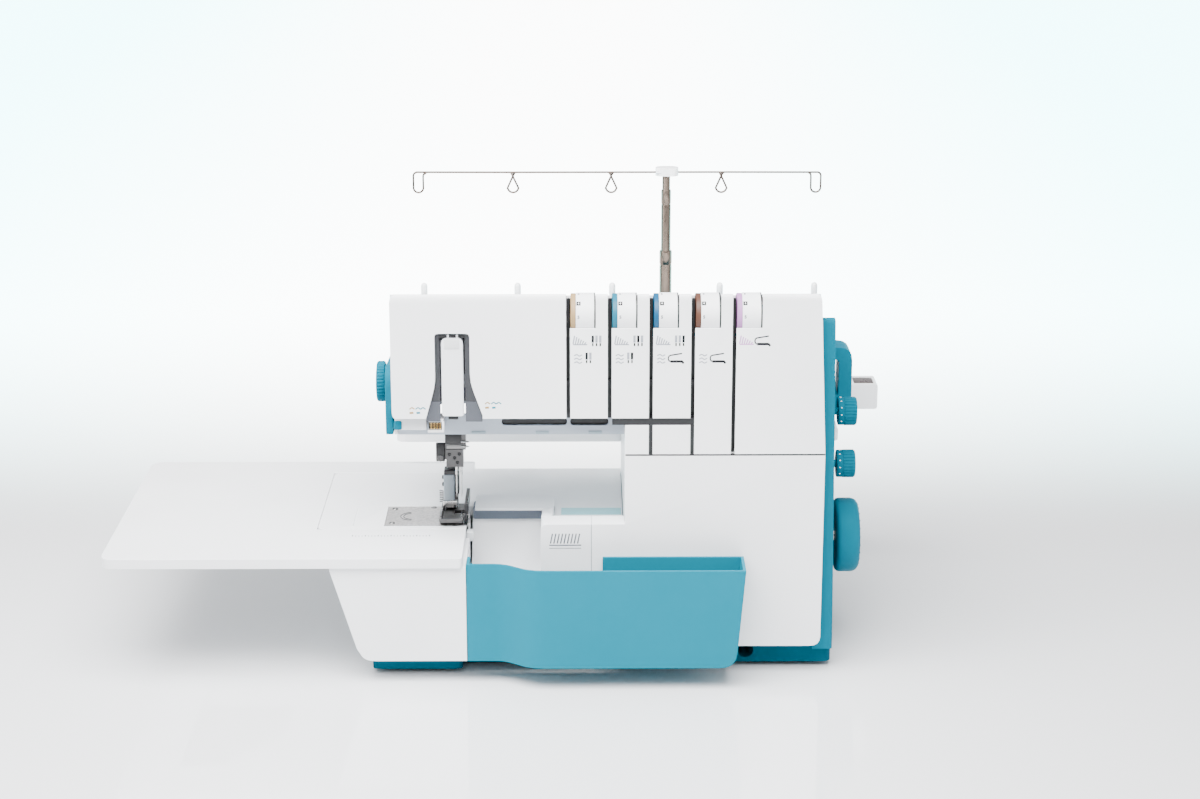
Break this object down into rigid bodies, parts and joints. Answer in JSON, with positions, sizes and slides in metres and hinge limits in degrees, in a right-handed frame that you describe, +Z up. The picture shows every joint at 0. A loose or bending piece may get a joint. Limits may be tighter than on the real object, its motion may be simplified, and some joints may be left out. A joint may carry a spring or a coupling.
{
  "type": "serger overlock machine",
  "caption": "Free-arm serger with slide-on extension table, trim bin, tension dials, side handwheel and a telescopic thread stand with a wire guide.",
  "frame": {"origin": "middle of the machine's footprint, on the surface that its rubber feet stand on", "axes": "+Z up, -Y is the front with the covers and the bin, +X points to the handwheel side"},
  "size_m": [0.617, 0.2954, 0.353],
  "materials": {
    "white_plastic": "satin moulded white plastic",
    "aqua_plastic": "satin aqua plastic",
    "teal_plastic": "fine-grained teal plastic",
    "deep_teal_plastic": "dark teal plastic",
    "grey_plastic": "light blue-grey plastic",
    "charcoal_plastic": "dark charcoal plastic",
    "dial_plastic": "white dial with a coloured thread strip",
    "black_steel": "black coated steel",
    "bright_steel": "ground steel",
    "dark_steel": "dark ground steel",
    "tube_steel": "drawn steel tube",
    "wire_steel": "bent steel wire with a white hub",
    "cast_frame": "die-cast aluminium",
    "black_rubber": "black rubber"
  },
  "bodies": {
    "machine": {"arm_underside": "grey_plastic", "base_plate": "deep_teal_plastic", "body_shell": "white_plastic", "carry_grip": "teal_plastic", "chute_cover": "white_plastic", "cloth_plate": "white_plastic", "foot_front_left": "black_rubber", "foot_front_right": "black_rubber", "foot_rear_left": "black_rubber", "foot_rear_right": "black_rubber", "free_arm_body": "white_plastic", "front_panel_1": "white_plastic", "front_panel_2": "white_plastic", "front_panel_3": "white_plastic", "front_panel_4": "white_plastic", "front_panel_5": "white_plastic", "head_cover": "white_plastic", "lower_knife": "bright_steel", "main_frame": "cast_frame", "mast_base": "tube_steel", "motor": "dark_steel", "needle_plate": "bright_steel", "power_socket": "charcoal_plastic", "rear_housing": "teal_plastic", "side_cover": "teal_plastic", "spool_stand": "white_plastic", "take_up_cover": "white_plastic", "thread_channel": "charcoal_plastic", "timing_belt": "black_rubber"},
    "drive": {"handwheel": "teal_plastic", "main_shaft": "bright_steel"},
    "motor_rotor": {"motor_pulley": "cast_frame"},
    "needle_group": {"needle_bar": "bright_steel", "needle_clamp": "bright_steel", "needle_left": "bright_steel", "needle_right": "bright_steel"},
    "take_up": {"take_up_lever": "bright_steel"},
    "upper_looper_arm": {"upper_looper": "bright_steel"},
    "lower_looper_arm": {"lower_looper": "bright_steel"},
    "knife": {"upper_knife": "black_steel"},
    "feed": {"feed_dogs": "bright_steel"},
    "presser": {"presser_bar": "black_steel", "presser_foot": "dark_steel"},
    "lifter": {"lifter_lever": "charcoal_plastic"},
    "differential": {"differential_dial": "teal_plastic"},
    "stitch": {"stitch_dial": "teal_plastic"},
    "pressure": {"pressure_knob": "teal_plastic"},
    "front_door": {"looper_cover": "white_plastic"},
    "trim_bin": {"waste_bin": "aqua_plastic"},
    "table": {"extension_table": "white_plastic"},
    "mast_middle_tube": {"mast_middle": "tube_steel"},
    "mast_top_tube": {"mast_top": "tube_steel"},
    "thread_guide": {"guide_bar": "wire_steel"},
    "air_lever": {"threading_lever": "white_plastic"},
    "switch_rocker": {"power_switch": "charcoal_plastic"},
    "tension_1": {"tension_dial_1": "dial_plastic"},
    "tension_2": {"tension_dial_2": "dial_plastic"},
    "tension_3": {"tension_dial_3": "dial_plastic"},
    "tension_4": {"tension_dial_4": "dial_plastic"},
    "tension_5": {"tension_dial_5": "dial_plastic"}
  },
  "joints": [
    {"name": "handwheel_turn", "type": "hinge", "parent": "machine", "child": "drive", "pos_m": [0.1505, -0.0523, 0.092], "axis": [1, 0, 0], "continuous": true},
    {"name": "motor_turn", "type": "hinge", "parent": "machine", "child": "motor_rotor", "pos_m": [0.2055, 0.0507, 0.062], "axis": [1, 0, 0], "continuous": true},
    {"name": "needle_bar_travel", "type": "slide", "parent": "machine", "child": "needle_group", "axis": [0, 0, 1], "range_m": [-0.028, 0]},
    {"name": "take_up_swing", "type": "hinge", "parent": "machine", "child": "take_up", "pos_m": [-0.0395, -0.0533, 0.262], "axis": [1, 0, 0], "range_deg": [0, 20]},
    {"name": "upper_looper_swing", "type": "hinge", "parent": "machine", "child": "upper_looper_arm", "pos_m": [-0.0795, -0.0453, 0.058], "axis": [0, 1, 0], "range_deg": [0, 10]},
    {"name": "lower_looper_swing", "type": "hinge", "parent": "machine", "child": "lower_looper_arm", "pos_m": [-0.0605, -0.0283, 0.048], "axis": [0, 1, 0], "range_deg": [-14, 0]},
    {"name": "upper_knife_travel", "type": "slide", "parent": "machine", "child": "knife", "axis": [0, 0, 1], "range_m": [-0.006, 0]},
    {"name": "feed_travel", "type": "slide", "parent": "machine", "child": "feed", "axis": [0, 1, 0], "range_m": [0, 0.002]},
    {"name": "lifter_swing", "type": "hinge", "parent": "machine", "child": "lifter", "pos_m": [-0.0495, 0.0237, 0.216], "axis": [1, 0, 0], "range_deg": [0, 35]},
    {"name": "presser_lift", "type": "slide", "parent": "machine", "child": "presser", "axis": [0, 0, 1], "range_m": [0, 0.0065]},
    {"name": "differential_turn", "type": "hinge", "parent": "machine", "child": "differential", "pos_m": [0.2645, -0.0543, 0.195], "axis": [1, 0, 0], "range_deg": [-110, 110]},
    {"name": "stitch_length_turn", "type": "hinge", "parent": "machine", "child": "stitch", "pos_m": [0.2645, -0.0543, 0.152], "axis": [1, 0, 0], "range_deg": [-120, 120]},
    {"name": "pressure_turn", "type": "hinge", "parent": "machine", "child": "pressure", "pos_m": [-0.0965, -0.0543, 0.22], "axis": [1, 0, 0], "range_deg": [-180, 180]},
    {"name": "looper_cover_slide", "type": "slide", "parent": "machine", "child": "front_door", "axis": [1, 0, 0], "range_m": [0, 0.012]},
    {"name": "waste_bin_slide", "type": "slide", "parent": "machine", "child": "trim_bin", "axis": [0, 1, 0], "range_m": [-0.06, 0]},
    {"name": "table_slide", "type": "slide", "parent": "machine", "child": "table", "axis": [1, 0, 0], "range_m": [-0.12, 0]},
    {"name": "mast_middle_slide", "type": "slide", "parent": "machine", "child": "mast_middle_tube", "axis": [0, 0, 1], "range_m": [-0.05, 0.05]},
    {"name": "mast_top_slide", "type": "slide", "parent": "mast_middle_tube", "child": "mast_top_tube", "axis": [0, 0, 1], "range_m": [-0.011, 0.06]},
    {"name": "guide_swivel", "type": "hinge", "parent": "mast_top_tube", "child": "thread_guide", "pos_m": [0.1285, 0.1257, 0.349], "axis": [0, 0, 1], "range_deg": [-8, 8]},
    {"name": "threading_lever_press", "type": "hinge", "parent": "machine", "child": "air_lever", "pos_m": [0.2365, 0.1027, 0.16], "axis": [0, 1, 0], "range_deg": [0, 15], "stiffness_Nm_per_rad": 0.5, "springref_deg": -8.59},
    {"name": "power_switch_rock", "type": "hinge", "parent": "machine", "child": "switch_rocker", "pos_m": [0.2485, 0.0657, 0.045], "axis": [0, 1, 0], "range_deg": [0, 16]},
    {"name": "tension_1_turn", "type": "hinge", "parent": "machine", "child": "tension_1", "pos_m": [0.05855, -0.0981, 0.285], "axis": [1, 0, 0], "range_deg": [-140, 140]},
    {"name": "tension_2_turn", "type": "hinge", "parent": "machine", "child": "tension_2", "pos_m": [0.08975, -0.0981, 0.285], "axis": [1, 0, 0], "range_deg": [-140, 140]},
    {"name": "tension_3_turn", "type": "hinge", "parent": "machine", "child": "tension_3", "pos_m": [0.12085, -0.0981, 0.285], "axis": [1, 0, 0], "range_deg": [-140, 140]},
    {"name": "tension_4_turn", "type": "hinge", "parent": "machine", "child": "tension_4", "pos_m": [0.15225, -0.0981, 0.285], "axis": [1, 0, 0], "range_deg": [-140, 140]},
    {"name": "tension_5_turn", "type": "hinge", "parent": "machine", "child": "tension_5", "pos_m": [0.18315, -0.0981, 0.285], "axis": [1, 0, 0], "range_deg": [-140, 140]}
  ],
  "couplings": [
    {"joint": "motor_turn", "follows": "handwheel_turn", "ratio": 3},
    {"joint": "take_up_swing", "follows": "needle_bar_travel", "rad_per_m": -12.4},
    {"joint": "upper_looper_swing", "follows": "needle_bar_travel", "rad_per_m": -6.2},
    {"joint": "lower_looper_swing", "follows": "needle_bar_travel", "rad_per_m": 8.7},
    {"joint": "upper_knife_travel", "follows": "needle_bar_travel", "ratio": 0.214},
    {"joint": "feed_travel", "follows": "needle_bar_travel", "ratio": -0.0714},
    {"joint": "lifter_swing", "follows": "presser_lift", "rad_per_m": 93.9}
  ]
}
